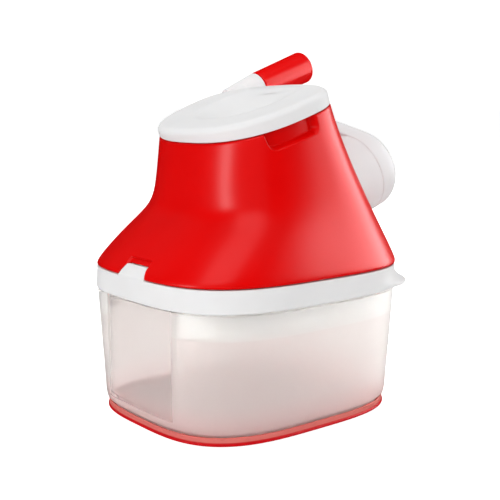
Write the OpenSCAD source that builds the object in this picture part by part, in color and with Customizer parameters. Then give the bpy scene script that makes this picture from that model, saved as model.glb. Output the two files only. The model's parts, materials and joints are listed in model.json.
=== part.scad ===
// Rotary cheese grater: a tub with a base ring, a rim collar, and a lift-off head
// that holds a feed chute, a pusher, a tilted grating drum and a side crank.
// Origin: centre of the base, on the surface it stands on. +Z up, crank towards +X.

/* [Tub] */
// Half length of the rim, along X
rim_half_x = 80; // [78:0.5:82]
// Half width of the rim, along Y
rim_half_y = 71.6; // [70:0.2:73]
// Squareness of the rim outline (2 is an ellipse)
rim_power = 3.3; // [3:0.1:3.6]
// Height of the underside of the rim collar
collar_z = 71.7; // [70:0.1:73]
// Height of the top of the rim collar
rim_z = 84.3; // [84:0.1:85]
// Height of the base ring
base_h = 5.2; // [4.9:0.1:5.8]

/* [Head] */
// Tilt of the crank axis and of the lid, rising towards +X
tilt = 19; // [18:0.5:20]
// Wall of the head
head_wall = 2.4; // [2:0.1:2.8]
// Half width of the head at the lid, along Y
neck_half_y = 54.4; // [53:0.2:56]

/* [Drum and crank] */
// Offset of the crank axis from the tilted plane through the origin
axis_v = 96.5; // [95:0.5:98]
// Outer radius of the crank hub
hub_r = 25.7; // [25:0.1:26]
// Outer radius of the grating drum
drum_r = 25; // [24:0.1:25.4]
// Distance from the crank axis to the grip axis
throw_len = 117; // [105:1:118]
// Angle of the arm above the horizontal at rest
arm_angle = 24.8; // [20:0.2:28]
// Radius of the grip at its outer end
grip_r = 11.6; // [11:0.1:12]

/* [Hidden] */
$fn = 64;
eps = 0.02;
RED = "#e11b1a";
WHITE = "#f1f0ef";
CLEAR = "#dedad4";
STEEL = "#b9bcc0";

// Outline points around a ring
ring_n = 48;
// Fit gap between pieces that lift apart, and running gap of a turning fit
lift_gap = 0.4;
run_gap = 0.05;

// Tub heights and half sizes
tub_bottom_z = 2.2;
tub_floor = 2.2;
tub_top_z = 80.6;
tub_foot_half = [76.7, 66.7];

// Head corner points in the XZ plane: rim ends, lid ends and the curve of the neck
gap_z = 0.5;
rim_l = [-rim_half_x + 0.5, rim_z + gap_z];
rim_r = [rim_half_x - 0.5, rim_z + gap_z];
lid_l = [-42.6, 154.7];
lid_len = 77.5;
lid_r = lid_l + lid_len * [cos(tilt), sin(tilt)];
neck_1 = [-39.9, 129.5];
neck_2 = [-48.4, 101.9];
lid_power = 2.6;
lid_split = 0.65;
// The lid plane in the tilted frame: s along the crank axis, v across it
lid_v = lid_l[1] * cos(tilt) - lid_l[0] * sin(tilt);
lid_s = lid_l[0] * cos(tilt) + lid_l[1] * sin(tilt);
lid_mid_s = lid_s + lid_split * lid_len;
lid_h = 8.2;

// Feed chute, in the tilted frame
chute_s = 47;
chute_half_s = 24;
chute_half_y = 29;
chute_wall = 2;
chute_power = 3.4;
chute_bottom_v = 108;
drum_clear_r = 27.6;

// Drum and crank stations along the axis
cradle_s = 11;
drum_s0 = 18;
drum_s1 = 80;
cap_s1 = 90;
hub_s0 = 82.6;
bearing_s0 = 84.4;
bearing_s1 = 101;
bearing_r = 28.6;
arm_s0 = 126;
arm_s1 = 138;
hub_s1 = 143.5;
hub_wall = 2.6;
boss_r = 7.5;
cone_r = 10.5;
cone_s1 = 150.7;
grip_s0 = 151.5;
grip_s1 = 198;
axle_r = 3;
spindle_half = 4;
grip_y = throw_len * cos(arm_angle);
grip_v = axis_v + throw_len * sin(arm_angle);

function spow(v, p) = sign(v) * pow(abs(v), p);
// A rounded outline whose left and right ends may differ in length and squareness
function dee(al, ar, b, nl, nr) = [for (i = [0:ring_n - 1])
    let (t = 360 * i / ring_n, c = cos(t), s = sin(t), a = c < 0 ? al : ar, p = c < 0 ? nl : nr)
    [spow(c, 2 / p) * a, spow(s, 2 / p) * b]];
function oval(a, b, p) = dee(a, a, b, p, p);
function at_z(pts, z) = [for (q = pts) [q[0], q[1], z]];
// One outline of the tub or the collar, half lengths a and b, at height z
function level(a, b, z) = at_z(oval(a, b, rim_power), z);
function mix(a, b, t) = a * (1 - t) + b * t;
function bez(a, b, c, d, t) =
    pow(1 - t, 3) * a + 3 * pow(1 - t, 2) * t * b + 3 * (1 - t) * t * t * c + t * t * t * d;

// One section of the head, t from 0 at the rim to 1 at the lid, drawn in by `inset`
function head_ring(t, inset) =
    let (l = bez(rim_l, neck_1, neck_2, lid_l, t), r = mix(rim_r, lid_r, t),
        len = norm(r - l), e = (r - l) / len,
        k = mix(0.5, lid_split, t), p = mix(rim_power, lid_power, pow(max(t, 0), 1.17)),
        b = mix(rim_half_y - 0.7, neck_half_y, 1 - pow(max(1 - t, 0), 1.7)),
        o = dee(k * len - inset, (1 - k) * len - inset, b - inset, p, p))
    [for (q = o) [l[0] + (k * len + q[0]) * e[0], q[1], l[1] + (k * len + q[0]) * e[1]]];

// How far the outer face of the head swells out above its lower edge
function swell(t) = 1.35 * (1 - exp(-t / 0.012)) * exp(-pow(t / 0.24, 2));

// Skin a stack of rings, lowest first, each counter-clockwise from above
module loft(rings) {
    n = len(rings[0]);
    m = len(rings);
    polyhedron(points = [for (r = rings) each r], faces = concat(
        [[for (i = [0:n - 1]) i]],
        [for (j = [0:m - 2]) for (i = [0:n - 1])
            [j * n + i, (j + 1) * n + i, (j + 1) * n + (i + 1) % n]],
        [for (j = [0:m - 2]) for (i = [0:n - 1])
            [j * n + i, (j + 1) * n + (i + 1) % n, j * n + (i + 1) % n]],
        [[for (i = [n - 1:-1:0]) (m - 1) * n + i]]));
}

// Child drawn in the tilted frame: X along the crank axis, Z square to the lid
module tilted() rotate([0, -tilt, 0]) children();
// Child drawn with Z along the crank axis, standing at station s
module on_axis(s) tilted() translate([s, 0, axis_v]) rotate([0, 90, 0]) children();
// The same on the axis of the grip
module on_grip(s) tilted() translate([s, grip_y, grip_v]) rotate([0, 90, 0]) children();
module ring(r_out, r_in, h) difference() {
    cylinder(r = r_out, h = h);
    translate([0, 0, -1]) cylinder(r = r_in, h = h + 2);
}

// Half sizes of the base ring at its widest, the recess for the tub and the open middle
base_half = [75.8, 65.8];
base_recess = [74.4, 64.4];
base_open = [63, 53.5];
module base_ring() color(RED) difference() {
    loft([
        level(base_half[0] - 1.3, base_half[1] - 1.4, 0),
        level(base_half[0], base_half[1], 1.2),
        level(base_half[0], base_half[1], base_h - 1),
        level(base_half[0] - 0.4, base_half[1] - 0.4, base_h)]);
    loft([
        level(base_recess[0], base_recess[1], tub_bottom_z),
        level(base_recess[0], base_recess[1], base_h + 1)]);
    translate([0, 0, -1]) linear_extrude(4) polygon(oval(base_open[0], base_open[1], rim_power));
}

// Half sizes of the tub: widest just under the collar, and inside the collar up to its rim
tub_top_half = [79.3, 70.9];
tub_rim_half = [77.3, 68.9];
module container() color(CLEAR) difference() {
    loft([
        level(71.5, 61.8, tub_bottom_z),
        level(73.9, 63.9, base_h),
        level(75.9, 65.9, base_h + 1.7),
        level(tub_foot_half[0], tub_foot_half[1], base_h + 5),
        level(tub_top_half[0], tub_top_half[1], collar_z - 1.4),
        level(tub_rim_half[0], tub_rim_half[1], collar_z - 0.4),
        level(tub_rim_half[0], tub_rim_half[1], tub_top_z)]);
    loft([
        level(69.5, 59.8, tub_bottom_z + tub_floor),
        level(73.2, 63.2, 8),
        level(74.6, 64.6, 13),
        level(75.5, 67.1, tub_top_z + 1)]);
}

// Deck of the collar over the tub's rim, and the opening through it
deck_z = rim_z - 2;
collar_open = [72.6, 63.8];
skirt_half = [74.4, 65.6];
skirt_z = 57;
// Half width of the gap in the skirt at the window end
skirt_gap_half_y = 48;
module collar() color(WHITE) {
    difference() {
        union() {
            loft([
                level(rim_half_x - 0.4, rim_half_y - 0.4, collar_z),
                level(rim_half_x, rim_half_y, collar_z + 0.8),
                level(rim_half_x - 0.5, rim_half_y - 0.7, rim_z - 0.6),
                level(rim_half_x - 1, rim_half_y - 1.2, rim_z)]);
            collar_tab();
        }
        translate([0, 0, collar_z - 1]) linear_extrude(deck_z - collar_z + 1)
            rim_shape(tub_rim_half, lift_gap);
        translate([0, 0, collar_z]) linear_extrude(20) rim_shape(collar_open, 0);
    }
    collar_skirt();
    collar_key();
}
module rim_shape(half, grow) polygon(oval(half[0] + grow, half[1] + grow, rim_power));

// Skirt inside the tub, cut away at the window end
module collar_skirt() difference() {
    translate([0, 0, skirt_z]) linear_extrude(rim_z - 1 - skirt_z) rim_shape(skirt_half, 0);
    translate([0, 0, skirt_z - 1]) linear_extrude(40) rim_shape(collar_open, 0);
    translate([-90, -skirt_gap_half_y, skirt_z - 1])
        cube([40, 2 * skirt_gap_half_y, deck_z - 0.3 - skirt_z]);
}

// Pull tab on the corner beside the crank
tab_turn = -43;
tab_reach = 84;
tab_half = 9;
module collar_tab() rotate([0, 0, tab_turn]) translate([tab_reach, -tab_half, 0]) {
    translate([-1, 0, 73.6]) cube([6.5, 2 * tab_half, 3.4]);
    translate([5.4, 0, 71.9]) cube([1.8, 2 * tab_half, 5.1]);
}

// Key that stands up into the notch of the head, flush with its outer face
module collar_key() intersection() {
    key_outline(key_foot, key_half, key_top);
    translate([0, key_foot, 0]) rotate([90, 0, 0]) linear_extrude(2 * key_foot) polygon(concat(
        [[key_face[0][0], rim_z - 1]], key_face,
        [[key_face[3][0] + key_thick, key_top], [key_face[0][0] + key_thick, rim_z - 1]]));
}

module collar_seal() color("#cfcac6") difference() {
    translate([0, 0, tub_top_z + 0.05]) linear_extrude(1.6) rim_shape(tub_rim_half, -0.1);
    translate([0, 0, tub_top_z - 1]) linear_extrude(5) rim_shape(skirt_half, 0.2);
}

head_steps = 12;
boss_wall = 2.6;
boss_s1 = bearing_s1 - 0.6;
// Step in the head round the outer flange of the bearing
flange_gap = 0.35;
module housing() color(RED) difference() {
    union() {
        difference() {
            loft([for (t = concat([0, 0.012, 0.035], [for (i = [1:head_steps]) i / head_steps]))
                head_ring(t, -swell(t))]);
            loft([for (i = [-0.5:head_steps + 0.5]) head_ring(i / head_steps, head_wall)]);
        }
        intersection() {
            pocket_zone(pocket_margin, -lid_seat);
            pocket_band(pocket_margin / 4, pocket_depth + head_wall);
        }
        on_axis(bearing_s0) cylinder(r = bearing_r + boss_wall, h = boss_s1 - bearing_s0);
    }
    on_axis(bearing_s0 - 6) cylinder(r = bearing_r + run_gap, h = 60);
    on_axis(flange_s0 - flange_gap) cylinder(r = flange_r + flange_gap, h = 60);
    key_outline(notch_foot, notch_half, notch_top);
    translate([notch_face_x - 20, -notch_recess_half, key_top]) cube([20, 2 * notch_recess_half, 6]);
    difference() {
        pocket_zone(0, 10);
        loft([for (t = pocket_t) head_ring(t, pocket_depth)]);
    }
}

// Finger pockets under the edge of the lid, on the long sides
pocket_s = [28, 59.2];
pocket_down = 9.7;
pocket_depth = 4;
pocket_margin = 2;
pocket_t = [0.76, 0.82, 0.88, 0.94, 1, 1.06];
lid_seat = 0.6;
module pocket_zone(grow, above) tilted() for (side = [-1, 1])
    translate([pocket_s[0] - grow, side * 48 - 12, lid_v - pocket_down - grow])
        cube([pocket_s[1] - pocket_s[0] + 2 * grow, 24, pocket_down + grow + above]);
// Layer of the head near the lid, between two depths
module pocket_band(outer, inner) difference() {
    loft([for (t = pocket_t) head_ring(t, outer)]);
    loft([for (t = concat([0.7], pocket_t, [1.12])) head_ring(t, inner)]);
}

// Key of the collar and the notch of the head that it fills, seen from the end
key_top = 90.4;
// Face of the key from its foot to its top, in the XZ plane, and its thickness
key_face = [[-79.1, 84.9], [-78.4, 86.8], [-77, 88.7], [-75.8, key_top]];
key_half = 9.7;
key_foot = 12.7;
key_thick = 1.8;
notch_top = key_top + 0.3;
notch_half = key_half + 0.3;
notch_foot = key_foot + 0.6;
notch_face_x = -73.9;
notch_recess_half = 10.4;
module key_outline(foot, half, top)
    translate([-rim_half_x - 4, 0, 0]) rotate([90, 0, 90]) linear_extrude(14)
    polygon([[-foot, rim_z - 1], [foot, rim_z - 1], [half, top], [-half, top]]);

// The chute ends just under the lid, in a plate that closes the top of the head
chute_top_v = lid_v - 0.4;
chute_plate_half_y = 43;
module chute_shape(grow) polygon(oval(chute_half_s + grow, chute_half_y + grow, chute_power));
module feed_chute() color(RED) difference() {
    tilted() {
        translate([chute_s, 0, chute_bottom_v]) linear_extrude(chute_top_v - chute_bottom_v)
            chute_shape(chute_wall);
        translate([lid_mid_s, 0, chute_top_v - 2]) linear_extrude(2) polygon(dee(lid_split * lid_len - 4.6,
            (1 - lid_split) * lid_len - 4.2, chute_plate_half_y, lid_power, lid_power));
    }
    tilted() translate([chute_s, 0, chute_bottom_v - 10]) linear_extrude(80) chute_shape(0);
    on_axis(0) cylinder(r = drum_clear_r, h = 120);
}

// Ring that carries the open end of the drum, hung from the chute
cradle_r = 29.5;
cradle_w = 6;
// Half width of the bracket between the chute and the cradle
bracket_half = 9;
journal_r = drum_r + 1.5;
module drum_cradle() color(RED) difference() {
    union() {
        on_axis(cradle_s) ring(cradle_r, journal_r + run_gap, cradle_w);
        tilted() translate([cradle_s + 1, -bracket_half, axis_v + cradle_r - 2])
            cube([chute_s - chute_half_s - chute_wall - cradle_s - 1 - eps, 2 * bracket_half, 3]);
    }
    on_axis(cradle_s - 1) cylinder(r = journal_r + run_gap, h = cradle_w + 2);
}

flange_r = bearing_r + 1.6;
flange_s0 = bearing_s1 - 0.5;
module bearing_ring() color(WHITE) on_axis(bearing_s0) difference() {
    union() {
        cylinder(r = bearing_r, h = bearing_s1 - bearing_s0);
        translate([0, 0, flange_s0 - bearing_s0]) cylinder(r = flange_r, h = 1.6);
    }
    translate([0, 0, -1]) cylinder(r = hub_r + run_gap, h = 40);
}

// Snap ring on the inner end of the hub, which keeps it in the bearing
module hub_retainer() color(STEEL) on_axis(hub_s0 + 0.2) ring(bearing_r - 0.7, hub_r, 1.4);

lid_wall = 2.6;
// Outline of the lid, drawn in by `inset`
function lid_plan(inset) =
    dee(lid_split * lid_len - inset, (1 - lid_split) * lid_len - inset, neck_half_y - inset,
        lid_power, lid_power);

// Bowl in the lid; each ring has its widest station, its reach either way along s and its half width
bowl_depth = 9.4;
bowl_wall = 1.8;
function bowl_ring(s, low, high, half, grow, h) =
    [for (q = dee(low + grow, high + grow, half + grow, 2.5, 2.5)) [s + q[0], q[1], h]];
module bowl(grow, floor_v, top_v) translate([0, 0, lid_v]) loft([
    bowl_ring(47, 9, 9, 13, grow, floor_v),
    bowl_ring(47, 14, 14, 18.5, grow, floor_v + 1.6),
    bowl_ring(47.5, 17.5, 17, 22, grow, -3),
    bowl_ring(48, 18.6, 17.6, 23.4, grow, 0),
    bowl_ring(56, 27, 20.5, 28, grow, lid_h - 3),
    bowl_ring(64, 35.5, 17, 30.5, grow, top_v)]);

// Collar under the bowl, which fits in the mouth of the plunger
spigot_h = 6;
spigot_wall = 1.6;
module lid_spigot() translate([chute_s, 0, lid_v - spigot_h]) linear_extrude(spigot_h + lid_h - 2.5)
    difference() {
        chute_shape(-plunger_wall - plunger_gap - eps);
        chute_shape(-plunger_wall - plunger_gap - spigot_wall);
    }

module pusher_lid() color(WHITE) tilted() difference() {
    union() {
        difference() {
            translate([lid_mid_s, 0, lid_v + 0.1]) loft([at_z(lid_plan(0), 0), at_z(lid_plan(0), lid_h - 4),
                at_z(lid_plan(0.5), lid_h - 2.2), at_z(lid_plan(1.5), lid_h - 1),
                at_z(lid_plan(3), lid_h - 0.3), at_z(lid_plan(4.6), lid_h)]);
            translate([lid_mid_s, 0, lid_v - 1]) linear_extrude(lid_h - 2) polygon(lid_plan(lid_wall));
        }
        bowl(bowl_wall, -bowl_depth, lid_h - 0.2);
        lid_spigot();
    }
    bowl(0, -bowl_depth + bowl_wall, lid_h + 1);
}

// Hollow body that fills the chute, open at the top under the lid's bowl
plunger_bottom_v = 131;
plunger_gap = 0.8;
plunger_wall = 1.8;
plunger_floor = 2.4;
plunger_top_v = lid_v - 0.6;
module pusher_plunger() color(WHITE) tilted() translate([chute_s, 0, 0]) difference() {
    translate([0, 0, plunger_bottom_v]) linear_extrude(plunger_top_v - plunger_bottom_v)
        chute_shape(-plunger_gap);
    translate([0, 0, plunger_bottom_v + plunger_floor]) linear_extrude(60)
        chute_shape(-plunger_gap - plunger_wall);
}

// Arched foot with ribs, which presses the cheese on the drum
foot_v = axis_v + 24;
// Radius of its arch, and the ribs: how many each side of the middle, pitch, gap and height
arch_r = 29.5;
rib_side = 2;
rib_pitch = 8;
rib_gap = 4;
rib_h = 7;
module press_plate() color(WHITE) difference() {
    tilted() translate([chute_s, 0, foot_v])
        linear_extrude(plunger_bottom_v - foot_v - eps) chute_shape(-1.2);
    on_axis(0) cylinder(r = arch_r, h = 120);
    for (i = [-rib_side:rib_side]) tilted()
        translate([chute_s + rib_pitch * i - rib_gap / 2, -40, axis_v])
        cube([rib_gap, 80, foot_v + rib_h - axis_v]);
}

// Round cutters of the drum: rings of holes, staggered by half a pitch
sleeve_wall = 0.8;
tooth_rings = 6;
tooth_count = 12;
tooth_pitch = 9.6;
tooth_r = 2.2;
first_ring_s = 7;
module drum_sleeve() color(STEEL) on_axis(drum_s0) difference() {
    ring(drum_r, drum_r - sleeve_wall, drum_s1 - drum_s0);
    for (j = [0:tooth_rings - 1]) for (i = [0:tooth_count - 1])
        translate([0, 0, first_ring_s + tooth_pitch * j]) rotate([0, 90, 360 / tooth_count * (i + 0.5 * (j % 2))])
            translate([0, 0, drum_r - 3]) cylinder(r = tooth_r, h = 5);
}
journal_h = drum_s0 - cradle_s - 1;
module drum_front_ring() color(WHITE) on_axis(cradle_s) difference() {
    union() {
        cylinder(r = journal_r, h = journal_h);
        translate([0, 0, journal_h]) cylinder(r = journal_r + 0.4, h = 5);
    }
    translate([0, 0, -1]) cylinder(r = drum_r - 2, h = 9);
    translate([0, 0, drum_s0 - cradle_s]) cylinder(r = drum_r, h = 20);
}
cap_plug = 3;
socket_half = spindle_half + 0.3;
module drum_rear_cap() color(WHITE) on_axis(drum_s1 - cap_plug) difference() {
    union() {
        cylinder(r = drum_r - sleeve_wall, h = cap_plug);
        translate([0, 0, cap_plug]) cylinder(r = drum_r + 0.3, h = 2);
        cylinder(r = 10, h = cap_s1 - drum_s1 + cap_plug);
    }
    translate([0, 0, 1.5]) square_bar(socket_half, 30);
}
// Square bar or hole on the axis, of half width `half`
module square_bar(half, h) translate([-half, -half, 0]) cube([2 * half, 2 * half, h]);

module drive_spindle() color(STEEL) on_axis(drum_s1) square_bar(spindle_half, arm_s1 - drum_s1);
module spindle_screw() color(STEEL) on_axis(arm_s1) cylinder(r = 6, h = 2.4);

// Outline of the arm, from the hub circle to the boss, along +X
arm_hub_r = hub_r - 1.4;
arm_slope = asin((arm_hub_r - boss_r) / throw_len);
module arm_plan() {
    circle(r = arm_hub_r);
    polygon([arm_hub_r * [sin(arm_slope), cos(arm_slope)],
        [throw_len + boss_r * sin(arm_slope), boss_r * cos(arm_slope)],
        [throw_len + boss_r * sin(arm_slope), -boss_r * cos(arm_slope)],
        arm_hub_r * [sin(arm_slope), -cos(arm_slope)]]);
    translate([throw_len, 0]) circle(r = boss_r);
}

hub_round = 9;
// Recess for the cover in the hub's end, and the recess for the screw in the back of the boss
cover_r = 15.8;
cover_h = 3.4;
cover_s = arm_s1 + 2.6;
boss_recess_r = 5;
boss_recess = 3;
// Hub with its arm and the cone that carries the grip
module crank() color(WHITE) difference() {
    union() {
        on_axis(hub_s0) cylinder(r = hub_r, h = hub_s1 - hub_s0 - hub_round);
        on_axis(hub_s1 - hub_round) rotate_extrude() intersection() {
            union() {
                square([hub_r - hub_round, hub_round]);
                translate([hub_r - hub_round, 0]) circle(r = hub_round);
            }
            square([60, 60]);
        }
        tilted() translate([arm_s0, 0, axis_v]) rotate([90, 0, 90]) linear_extrude(arm_s1 - arm_s0)
            rotate(arm_angle) arm_plan();
        on_grip(arm_s0) cylinder(r1 = boss_r, r2 = cone_r, h = cone_s1 - arm_s0);
    }
    on_axis(hub_s0 - 1) cylinder(r = hub_r - hub_wall, h = cap_s1 + 2 - hub_s0);
    on_axis(cap_s1) difference() {
        cylinder(r = hub_r - hub_wall, h = arm_s0 - cap_s1 - 2);
        cylinder(r = 8, h = 60);
    }
    on_axis(arm_s1 - 60) square_bar(spindle_half, 60);
    on_axis(arm_s1) cylinder(r = cover_r + 0.2, h = 20);
    on_grip(arm_s0 - 1) cylinder(r = boss_recess_r, h = boss_recess + 1);
    on_grip(arm_s0) cylinder(r = axle_r, h = 60);
}
module hub_cover() color(WHITE) on_axis(cover_s) cylinder(r = cover_r, h = cover_h);

// Fixed axle of the grip, with a head that keeps the grip on
axle_head_s = grip_s0 + 32.4;
module grip_axle() color(STEEL) {
    on_grip(arm_s0 + boss_recess) cylinder(r = axle_r, h = axle_head_s - arm_s0 - boss_recess + eps);
    on_grip(axle_head_s) cylinder(r = 5, h = 2);
}
module grip_screw() color(STEEL) on_grip(arm_s0 + 0.6) difference() {
    cylinder(r = 4.6, h = boss_recess - 0.6);
    translate([0, 0, -1]) linear_extrude(2.2) square([6, 1], center = true);
}
module grip_washer() color(STEEL) on_grip(cone_s1) ring(9.2, axle_r, 0.6);
// The grip is open inside past the axle's head, and its end cap closes it
cap_h = 3;
grip_pocket_r = 7;
module grip_sleeve() color(RED) on_grip(grip_s0) difference() {
    cylinder(r1 = grip_r - 1, r2 = grip_r, h = grip_s1 - grip_s0 - cap_h);
    translate([0, 0, -1]) cylinder(r = axle_r + run_gap, h = 60);
    translate([0, 0, axle_head_s - grip_s0 - 0.4]) cylinder(r = grip_pocket_r, h = 20);
}
module grip_cap() color(RED) on_grip(grip_s1 - cap_h) {
    rotate_extrude() union() {
        square([grip_r - cap_h, cap_h]);
        intersection() {
            translate([grip_r - cap_h, 0]) circle(r = cap_h);
            square([60, 60]);
        }
    }
    translate([0, 0, -1.6]) cylinder(r = grip_pocket_r, h = 1.6 + eps);
}

base_ring();
container();
collar();
collar_seal();
housing();
feed_chute();
drum_cradle();
bearing_ring();
hub_retainer();
pusher_lid();
pusher_plunger();
press_plate();
drum_sleeve();
drum_front_ring();
drum_rear_cap();
drive_spindle();
spindle_screw();
crank();
hub_cover();
grip_axle();
grip_screw();
grip_washer();
grip_sleeve();
grip_cap();
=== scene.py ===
"""Looks of a hand-cranked cheese grater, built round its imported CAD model.

Lengths are millimetres until a mesh is made, which is in metres. Tilted coordinates are (s, y, v):
s runs along the crank axis, y as in the row, and v square to the lid.
"""
import json
import math

import bmesh
import bpy
import numpy as np
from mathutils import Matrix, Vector


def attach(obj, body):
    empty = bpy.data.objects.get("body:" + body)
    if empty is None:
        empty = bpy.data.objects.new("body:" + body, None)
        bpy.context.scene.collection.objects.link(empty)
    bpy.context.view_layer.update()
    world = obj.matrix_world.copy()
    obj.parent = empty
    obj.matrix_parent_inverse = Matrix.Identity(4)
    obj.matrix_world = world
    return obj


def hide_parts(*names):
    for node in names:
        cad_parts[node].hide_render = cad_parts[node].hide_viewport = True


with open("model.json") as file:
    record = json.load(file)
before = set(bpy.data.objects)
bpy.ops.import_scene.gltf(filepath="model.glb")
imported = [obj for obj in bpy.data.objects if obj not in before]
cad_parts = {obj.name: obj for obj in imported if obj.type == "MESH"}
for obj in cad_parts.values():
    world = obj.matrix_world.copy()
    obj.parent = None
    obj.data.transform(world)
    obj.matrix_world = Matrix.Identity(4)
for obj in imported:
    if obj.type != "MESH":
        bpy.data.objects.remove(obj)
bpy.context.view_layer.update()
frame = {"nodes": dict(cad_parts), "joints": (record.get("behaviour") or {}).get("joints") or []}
nodes = frame["nodes"]
joints = {joint["name"]: joint for joint in frame["joints"]}
MM = 0.001
TURN = 2 * math.pi

# ---------------------------------------------------------------- places taken from the frame

AXIS = np.array(joints["crank_turn"]["axis"], float)
AXIS /= np.linalg.norm(AXIS)
ACROSS = np.array([0.0, 1.0, 0.0])
LIFT = np.cross(AXIS, ACROSS)


def vertices(node):
    """A CAD node's vertices, in millimetres."""
    return np.array([vertex.co for vertex in nodes[node].data.vertices]) / MM


def span(node, direction):
    """Lowest and highest reach of a CAD node along a direction, in millimetres."""
    reach = vertices(node) @ np.asarray(direction, float)
    return reach.min(), reach.max()


def tilted(s, y, v):
    """Row coordinates of tilted coordinates."""
    s, y, v = np.broadcast_arrays(s, y, v)
    return s[..., None] * AXIS + y[..., None] * ACROSS + v[..., None] * LIFT


def pivot(joint):
    """The y and v of a joint's axis."""
    place = np.array(joints[joint]["pos_m"]) / MM
    return place[1], place @ LIFT


CRANK_Y, CRANK_V = pivot("crank_turn")
GRIP_Y, GRIP_V = pivot("grip_spin")
THROW = math.hypot(GRIP_Y - CRANK_Y, GRIP_V - CRANK_V)
ARM_TURN = math.atan2(GRIP_V - CRANK_V, GRIP_Y - CRANK_Y)

# ---------------------------------------------------------------- shape sizes

# Tub, base ring and collar: half lengths, half widths and heights
POWER = 3.3
BASE = span("base_ring", (1, 0, 0))[1], span("base_ring", (0, 1, 0))[1]
BASE_TOP = span("base_ring", (0, 0, 1))[1]
TUB_TOP = span("container", (0, 0, 1))[1]
TUB_RIM = span("container", (1, 0, 0))[1], span("container", (0, 1, 0))[1]
COLLAR = 80.0, 71.6
COLLAR_LOW = 71.7
COLLAR_TOP = 84.3
SKIRT_LOW = 57.5
WINDOW_HALF = 31.6
WINDOW_STEP = 5.4
WINDOW_DEPTH = 2.1
WINDOW_LOW = 19.0

# Head: rim, lid plane and neck
HEAD_LOW = 84.8
HEAD_WALL = 2.4
LID_POWER = 2.6
LID_LEN = 77.5
LID_SPLIT = 0.65
LID_HALF_Y = 54.4
RIM_LEFT = np.array([-79.5, HEAD_LOW])
RIM_RIGHT = np.array([79.5, HEAD_LOW])
LID_LEFT = np.array([-42.6, 154.7])
NECK = np.array([-39.9, 129.5]), np.array([-48.4, 101.9])
ALONG = np.array([AXIS[0], AXIS[2]])
LID_RIGHT = LID_LEFT + LID_LEN * ALONG
LID_V = float(LID_LEFT @ np.array([LIFT[0], LIFT[2]]))
LID_S = float(LID_LEFT @ ALONG) + LID_SPLIT * LID_LEN

# Finger pocket under the lid: its ends along s, its depth down from the lid and into the head
POCKET = 28.0, 59.2
POCKET_DOWN = 9.7
POCKET_IN = 4.4
POCKET_SLOPE = 1.7
POCKET_ROUND = 4.2

# Key of the collar and its notch in the head
KEY_TOP = 90.4
KEY_HALF = 9.7
KEY_FOOT = 12.8
NOTCH_DEEP = 1.5
NOTCH_TOP = 0.071
NOTCH_HALF = 10.4

# Bore of the head for the crank's bearing, its counterbore, and the boss round it
BORE_R = 29.86
BORE_ENDS = 60.0, 130.0
COUNTERBORE_R = 30.6
COUNTERBORE_LOW = 100.15
BOSS_IN = 28.66
BOSS_OUT = 31.2
BOSS_ENDS = 84.4, 100.1


# ---------------------------------------------------------------- outlines and profiles


def outline(phi, left, right, half_y, power):
    """Points of a rounded outline at polar angles phi; its two ends may differ in length."""
    c, s = np.cos(phi), np.sin(phi)
    end = np.where(c < 0, left, right)
    reach = (np.abs(c / end) ** power + np.abs(s / half_y) ** power) ** (-1 / power)
    return reach * c, reach * s


def ramp(value, low, high):
    """0 below low, 1 above high, smooth between."""
    t = np.clip((np.asarray(value, float) - low) / (high - low), 0, 1)
    return t * t * (3 - 2 * t)


def soft_line(value, width, round_off):
    """0 below 0, 1 above width, straight between, with both corners eased."""
    steps = np.linspace(-round_off, round_off, 9)
    value = np.asarray(value, float)[..., None] - steps
    return np.clip(value / width, 0, 1).mean(-1)


def full_turn(count):
    """Angles that go round once in equal steps."""
    return np.linspace(0, TURN, count, endpoint=False)


def oval(phi, half_x, half_y):
    """Points of the outline that the tub, its ring and the collar share."""
    return outline(phi, half_x, half_x, half_y, POWER)


def spread(x, y, density, count):
    """Polar angles round an outline, closer together where the density is higher."""
    phi = full_turn(len(x))
    length = np.hypot(np.roll(x, -1) - x, np.roll(y, -1) - y) * density
    total = np.concatenate([[0], np.cumsum(length)])
    wanted = np.linspace(0, total[-1], count, endpoint=False)
    return np.interp(wanted, total, np.append(phi, TURN))


def rounded(corners, closed=False, steps=5):
    """A path through corners, each (coordinates..., radius), with its corners turned to arcs."""
    points = [np.array(corner[:-1], float) for corner in corners]
    radii = [corner[-1] for corner in corners]
    path = []
    for i, point in enumerate(points):
        if not closed and i in (0, len(points) - 1) or radii[i] == 0:
            path.append(point)
            continue
        before = points[i - 1] - point
        after = points[(i + 1) % len(points)] - point
        room = min(np.linalg.norm(before), np.linalg.norm(after)) * 0.499
        before, after = before / np.linalg.norm(before), after / np.linalg.norm(after)
        half = math.acos(np.clip(before @ after, -1, 1)) / 2
        back = min(radii[i] / math.tan(half), room)
        start, end, weight = point + before * back, point + after * back, math.sin(half)
        for t in np.linspace(0, 1, steps + 1):
            a, b, c = (1 - t) ** 2, 2 * t * (1 - t) * weight, t * t
            path.append((a * start + b * point + c * end) / (a + b + c))
    return np.array(path)


def refine(path, step, closed=False):
    """The same path with its long stretches cut to at most step."""
    path = list(path) + ([path[0]] if closed else [])
    fine = [path[0]]
    for a, b in zip(path, path[1:]):
        parts = max(1, math.ceil(np.linalg.norm(b - a) / step))
        fine += [a + (b - a) * k / parts for k in range(1, parts + 1)]
    return np.array(fine[:-1] if closed else fine)


# ---------------------------------------------------------------- meshes


def smooth_mesh(name, points, faces):
    """A closed smooth mesh from points in millimetres."""
    mesh = bpy.data.meshes.new(name)
    mesh.from_pydata([tuple(p * MM) for p in points], [], faces)
    build = bmesh.new()
    build.from_mesh(mesh)
    bmesh.ops.recalc_face_normals(build, faces=build.faces)
    for face in build.faces:
        face.smooth = True
    build.to_mesh(mesh)
    build.free()
    return mesh


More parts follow.
